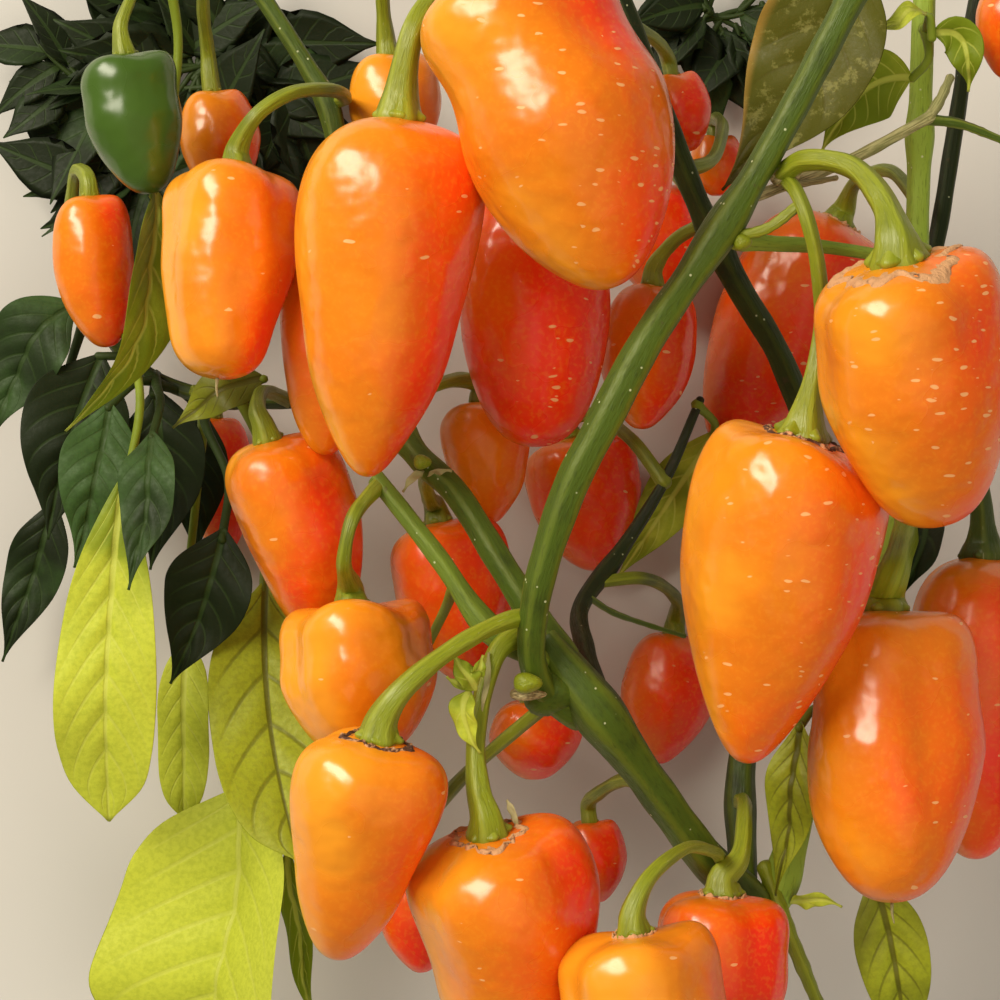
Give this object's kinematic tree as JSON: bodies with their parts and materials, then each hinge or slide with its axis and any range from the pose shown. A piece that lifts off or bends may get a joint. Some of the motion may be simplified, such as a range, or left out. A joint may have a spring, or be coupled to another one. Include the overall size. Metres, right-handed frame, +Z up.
{
  "type": "fruiting chilli pepper branch",
  "caption": "Cut fruiting branch of an orange chilli pepper plant: forked green stems, hanging glossy fruits on curved stalks and leaves, lying on its back.",
  "frame": {"origin": "on the level plane that the branch lies on, under the middle of its outline", "axes": "+Z up from that plane, towards the side that is seen; +Y towards the shoot tips, away from the cut end"},
  "size_m": [0.225, 0.2498, 0.1347],
  "materials": {
    "ripe_fruit": "glossy, waxy",
    "deep_fruit": "glossy, waxy",
    "unripe_fruit": "glossy, waxy",
    "stalk": "smooth, green",
    "stem": "satin, ribbed, green",
    "dark_stem": "satin, ribbed, dark green",
    "bright_leaf": "satin, veined",
    "olive_leaf": "satin, veined",
    "dark_leaf": "satin, veined"
  },
  "bodies": {
    "root": {"main_stem": "stem", "front_bough": "stem", "upper_left_stem": "stem", "left_shoot": "stem", "lower_back_bough": "dark_stem", "upper_back_bough": "dark_stem", "top_shoot": "stem", "dark_shoot": "dark_stem", "right_bough": "stem", "dark_right_shoot": "dark_stem", "left_bough": "dark_stem", "top_left_shoot": "dark_stem", "side_shoot": "stem", "fruit_01": "unripe_fruit", "fruit_02": "ripe_fruit", "fruit_03": "ripe_fruit", "fruit_04": "deep_fruit", "fruit_05": "ripe_fruit", "fruit_06": "ripe_fruit", "fruit_07": "ripe_fruit", "fruit_08": "deep_fruit", "fruit_09": "ripe_fruit", "fruit_10": "ripe_fruit", "fruit_12": "deep_fruit", "fruit_13": "deep_fruit", "fruit_14": "ripe_fruit", "fruit_15": "deep_fruit", "fruit_16": "deep_fruit", "fruit_17": "ripe_fruit", "fruit_18": "ripe_fruit", "fruit_19": "ripe_fruit", "fruit_20": "deep_fruit", "fruit_21": "deep_fruit", "fruit_22": "deep_fruit", "fruit_23": "deep_fruit", "fruit_24": "ripe_fruit", "fruit_25": "deep_fruit", "fruit_26": "ripe_fruit", "fruit_27": "ripe_fruit", "fruit_28": "ripe_fruit", "fruit_29": "deep_fruit", "fruit_30": "deep_fruit", "fruit_32": "ripe_fruit", "fruit_33": "deep_fruit", "fruit_34": "deep_fruit", "fruit_35": "deep_fruit", "mottled_leaf": "olive_leaf", "young_top_leaves": "bright_leaf", "edge_on_leaf": "bright_leaf", "far_left_leaves": "dark_leaf", "dark_left_leaves": "dark_leaf", "long_bright_leaf": "bright_leaf", "black_leaf": "dark_leaf", "olive_leaves": "olive_leaf", "bottom_left_leaf": "bright_leaf", "bottom_right_leaf": "bright_leaf", "lower_middle_leaf": "bright_leaf", "pale_back_leaf": "bright_leaf", "upper_left_foliage": "dark_leaf", "top_foliage": "dark_leaf"}
  },
  "joints": []
}
